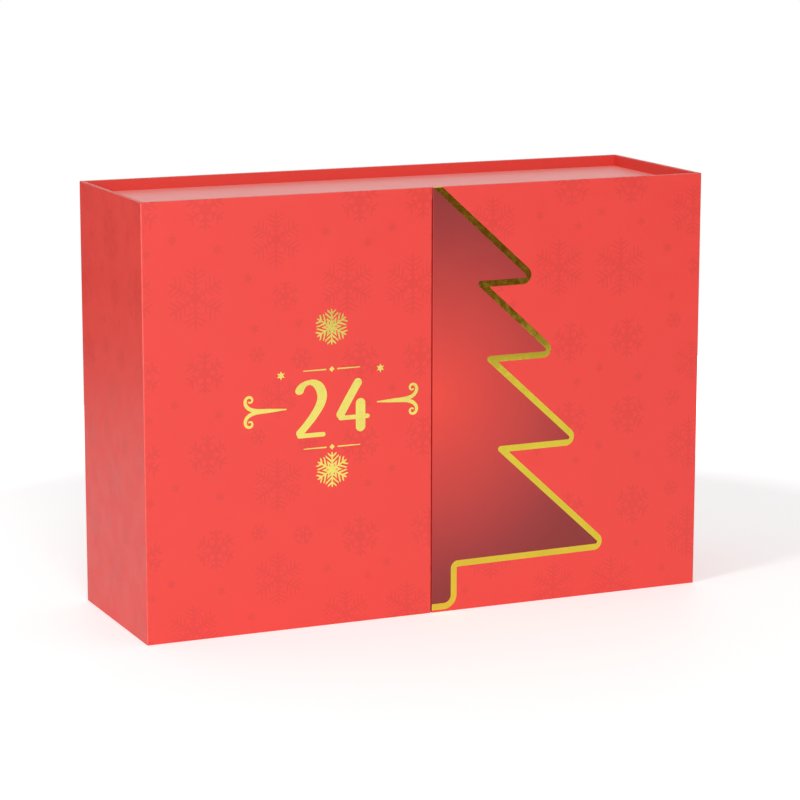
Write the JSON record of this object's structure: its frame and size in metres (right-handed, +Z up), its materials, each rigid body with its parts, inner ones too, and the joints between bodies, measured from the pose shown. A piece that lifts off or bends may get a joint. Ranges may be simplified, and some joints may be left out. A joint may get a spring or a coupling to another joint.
{
  "type": "advent calendar box",
  "caption": "Rigid cardboard advent calendar box: front doors that meet in the middle, and behind them a cabinet of small pull-out drawers with ribbon pulls.",
  "frame": {"origin": "middle of the footprint, on the surface that the box stands on", "axes": "+X to the right as seen from the front, +Y to the back, +Z up; the doors are at -Y"},
  "size_m": [0.42, 0.13, 0.3],
  "materials": {
    "red_paper_board": "matte printed paper over board",
    "red_lining": "matte printed paper",
    "cabinet_board": "matte paper over board",
    "divider_board": "uncoated board",
    "magnet": "nickel plated",
    "steel_disc": "plain steel",
    "drawer_board": "matte printed paper over board"
  },
  "bodies": {
    "case": {"case_back": "red_paper_board", "case_left_side": "red_paper_board", "case_right_side": "red_paper_board", "cabinet_bottom": "cabinet_board", "cabinet_top": "cabinet_board", "cabinet_left_wall": "cabinet_board", "cabinet_right_wall": "cabinet_board", "cabinet_back": "cabinet_board", "shelf_1": "divider_board", "shelf_2": "divider_board", "shelf_3": "divider_board", "left_outer_upright": "divider_board", "left_inner_upright": "divider_board", "right_inner_upright": "divider_board", "right_outer_upright": "divider_board", "left_post_wall": "divider_board", "right_post_wall": "divider_board", "post_strip": "cabinet_board", "post_facing": "red_lining", "catch_discs": "steel_disc"},
    "left_door": {"left_door_board": "red_paper_board", "left_door_lining": "red_lining", "left_door_magnets": "magnet"},
    "right_door": {"right_door_board": "red_paper_board", "right_door_lining": "red_lining", "right_door_magnets": "magnet"},
    "drawer_01": {"drawer_01": "drawer_board"},
    "drawer_02": {"drawer_02": "drawer_board"},
    "drawer_03": {"drawer_03": "drawer_board"},
    "drawer_04": {"drawer_04": "drawer_board"},
    "drawer_05": {"drawer_05": "drawer_board"},
    "drawer_06": {"drawer_06": "drawer_board"},
    "drawer_07": {"drawer_07": "drawer_board"},
    "drawer_08": {"drawer_08": "drawer_board"},
    "drawer_09": {"drawer_09": "drawer_board"},
    "drawer_10": {"drawer_10": "drawer_board"},
    "drawer_11": {"drawer_11": "drawer_board"},
    "drawer_12": {"drawer_12": "drawer_board"},
    "drawer_13": {"drawer_13": "drawer_board"},
    "drawer_14": {"drawer_14": "drawer_board"},
    "drawer_15": {"drawer_15": "drawer_board"},
    "drawer_16": {"drawer_16": "drawer_board"},
    "drawer_17": {"drawer_17": "drawer_board"},
    "drawer_18": {"drawer_18": "drawer_board"},
    "drawer_19": {"drawer_19": "drawer_board"},
    "drawer_20": {"drawer_20": "drawer_board"},
    "drawer_21": {"drawer_21": "drawer_board"},
    "drawer_22": {"drawer_22": "drawer_board"},
    "drawer_23": {"drawer_23": "drawer_board"},
    "drawer_24": {"drawer_24": "drawer_board"}
  },
  "joints": [
    {"name": "left_door_hinge", "type": "hinge", "parent": "case", "child": "left_door", "pos_m": [-0.21, -0.065, 0.15], "axis": [0, 0, -1], "range_deg": [0, 265]},
    {"name": "right_door_hinge", "type": "hinge", "parent": "case", "child": "right_door", "pos_m": [0.21, -0.065, 0.15], "axis": [0, 0, 1], "range_deg": [0, 265]},
    {"name": "drawer_01_slide", "type": "slide", "parent": "case", "child": "drawer_01", "axis": [0, -1, 0], "range_m": [0, 0.1]},
    {"name": "drawer_02_slide", "type": "slide", "parent": "case", "child": "drawer_02", "axis": [0, -1, 0], "range_m": [0, 0.1]},
    {"name": "drawer_03_slide", "type": "slide", "parent": "case", "child": "drawer_03", "axis": [0, -1, 0], "range_m": [0, 0.1]},
    {"name": "drawer_04_slide", "type": "slide", "parent": "case", "child": "drawer_04", "axis": [0, -1, 0], "range_m": [0, 0.1]},
    {"name": "drawer_05_slide", "type": "slide", "parent": "case", "child": "drawer_05", "axis": [0, -1, 0], "range_m": [0, 0.1]},
    {"name": "drawer_06_slide", "type": "slide", "parent": "case", "child": "drawer_06", "axis": [0, -1, 0], "range_m": [0, 0.1]},
    {"name": "drawer_07_slide", "type": "slide", "parent": "case", "child": "drawer_07", "axis": [0, -1, 0], "range_m": [0, 0.1]},
    {"name": "drawer_08_slide", "type": "slide", "parent": "case", "child": "drawer_08", "axis": [0, -1, 0], "range_m": [0, 0.1]},
    {"name": "drawer_09_slide", "type": "slide", "parent": "case", "child": "drawer_09", "axis": [0, -1, 0], "range_m": [0, 0.1]},
    {"name": "drawer_10_slide", "type": "slide", "parent": "case", "child": "drawer_10", "axis": [0, -1, 0], "range_m": [0, 0.1]},
    {"name": "drawer_11_slide", "type": "slide", "parent": "case", "child": "drawer_11", "axis": [0, -1, 0], "range_m": [0, 0.1]},
    {"name": "drawer_12_slide", "type": "slide", "parent": "case", "child": "drawer_12", "axis": [0, -1, 0], "range_m": [0, 0.1]},
    {"name": "drawer_13_slide", "type": "slide", "parent": "case", "child": "drawer_13", "axis": [0, -1, 0], "range_m": [0, 0.1]},
    {"name": "drawer_14_slide", "type": "slide", "parent": "case", "child": "drawer_14", "axis": [0, -1, 0], "range_m": [0, 0.1]},
    {"name": "drawer_15_slide", "type": "slide", "parent": "case", "child": "drawer_15", "axis": [0, -1, 0], "range_m": [0, 0.1]},
    {"name": "drawer_16_slide", "type": "slide", "parent": "case", "child": "drawer_16", "axis": [0, -1, 0], "range_m": [0, 0.1]},
    {"name": "drawer_17_slide", "type": "slide", "parent": "case", "child": "drawer_17", "axis": [0, -1, 0], "range_m": [0, 0.1]},
    {"name": "drawer_18_slide", "type": "slide", "parent": "case", "child": "drawer_18", "axis": [0, -1, 0], "range_m": [0, 0.1]},
    {"name": "drawer_19_slide", "type": "slide", "parent": "case", "child": "drawer_19", "axis": [0, -1, 0], "range_m": [0, 0.1]},
    {"name": "drawer_20_slide", "type": "slide", "parent": "case", "child": "drawer_20", "axis": [0, -1, 0], "range_m": [0, 0.1]},
    {"name": "drawer_21_slide", "type": "slide", "parent": "case", "child": "drawer_21", "axis": [0, -1, 0], "range_m": [0, 0.1]},
    {"name": "drawer_22_slide", "type": "slide", "parent": "case", "child": "drawer_22", "axis": [0, -1, 0], "range_m": [0, 0.1]},
    {"name": "drawer_23_slide", "type": "slide", "parent": "case", "child": "drawer_23", "axis": [0, -1, 0], "range_m": [0, 0.1]},
    {"name": "drawer_24_slide", "type": "slide", "parent": "case", "child": "drawer_24", "axis": [0, -1, 0], "range_m": [0, 0.1]}
  ],
  "couplings": [
    {"joint": "drawer_01_slide", "follows": "left_door_hinge", "m_per_rad": 0.012},
    {"joint": "drawer_02_slide", "follows": "left_door_hinge", "m_per_rad": 0.021621},
    {"joint": "drawer_03_slide", "follows": "left_door_hinge", "m_per_rad": 0.021621},
    {"joint": "drawer_04_slide", "follows": "right_door_hinge", "m_per_rad": 0.021621},
    {"joint": "drawer_05_slide", "follows": "right_door_hinge", "m_per_rad": 0.021621},
    {"joint": "drawer_06_slide", "follows": "right_door_hinge", "m_per_rad": 0.012},
    {"joint": "drawer_07_slide", "follows": "left_door_hinge", "m_per_rad": 0.012},
    {"joint": "drawer_08_slide", "follows": "left_door_hinge", "m_per_rad": 0.021621},
    {"joint": "drawer_09_slide", "follows": "left_door_hinge", "m_per_rad": 0.021621},
    {"joint": "drawer_10_slide", "follows": "right_door_hinge", "m_per_rad": 0.021621},
    {"joint": "drawer_11_slide", "follows": "right_door_hinge", "m_per_rad": 0.021621},
    {"joint": "drawer_12_slide", "follows": "right_door_hinge", "m_per_rad": 0.012},
    {"joint": "drawer_13_slide", "follows": "left_door_hinge", "m_per_rad": 0.012},
    {"joint": "drawer_14_slide", "follows": "left_door_hinge", "m_per_rad": 0.021621},
    {"joint": "drawer_15_slide", "follows": "left_door_hinge", "m_per_rad": 0.021621},
    {"joint": "drawer_16_slide", "follows": "right_door_hinge", "m_per_rad": 0.021621},
    {"joint": "drawer_17_slide", "follows": "right_door_hinge", "m_per_rad": 0.021621},
    {"joint": "drawer_18_slide", "follows": "right_door_hinge", "m_per_rad": 0.012},
    {"joint": "drawer_19_slide", "follows": "left_door_hinge", "m_per_rad": 0.012},
    {"joint": "drawer_20_slide", "follows": "left_door_hinge", "m_per_rad": 0.021621},
    {"joint": "drawer_21_slide", "follows": "left_door_hinge", "m_per_rad": 0.021621},
    {"joint": "drawer_22_slide", "follows": "right_door_hinge", "m_per_rad": 0.021621},
    {"joint": "drawer_23_slide", "follows": "right_door_hinge", "m_per_rad": 0.021621},
    {"joint": "drawer_24_slide", "follows": "right_door_hinge", "m_per_rad": 0.012}
  ]
}
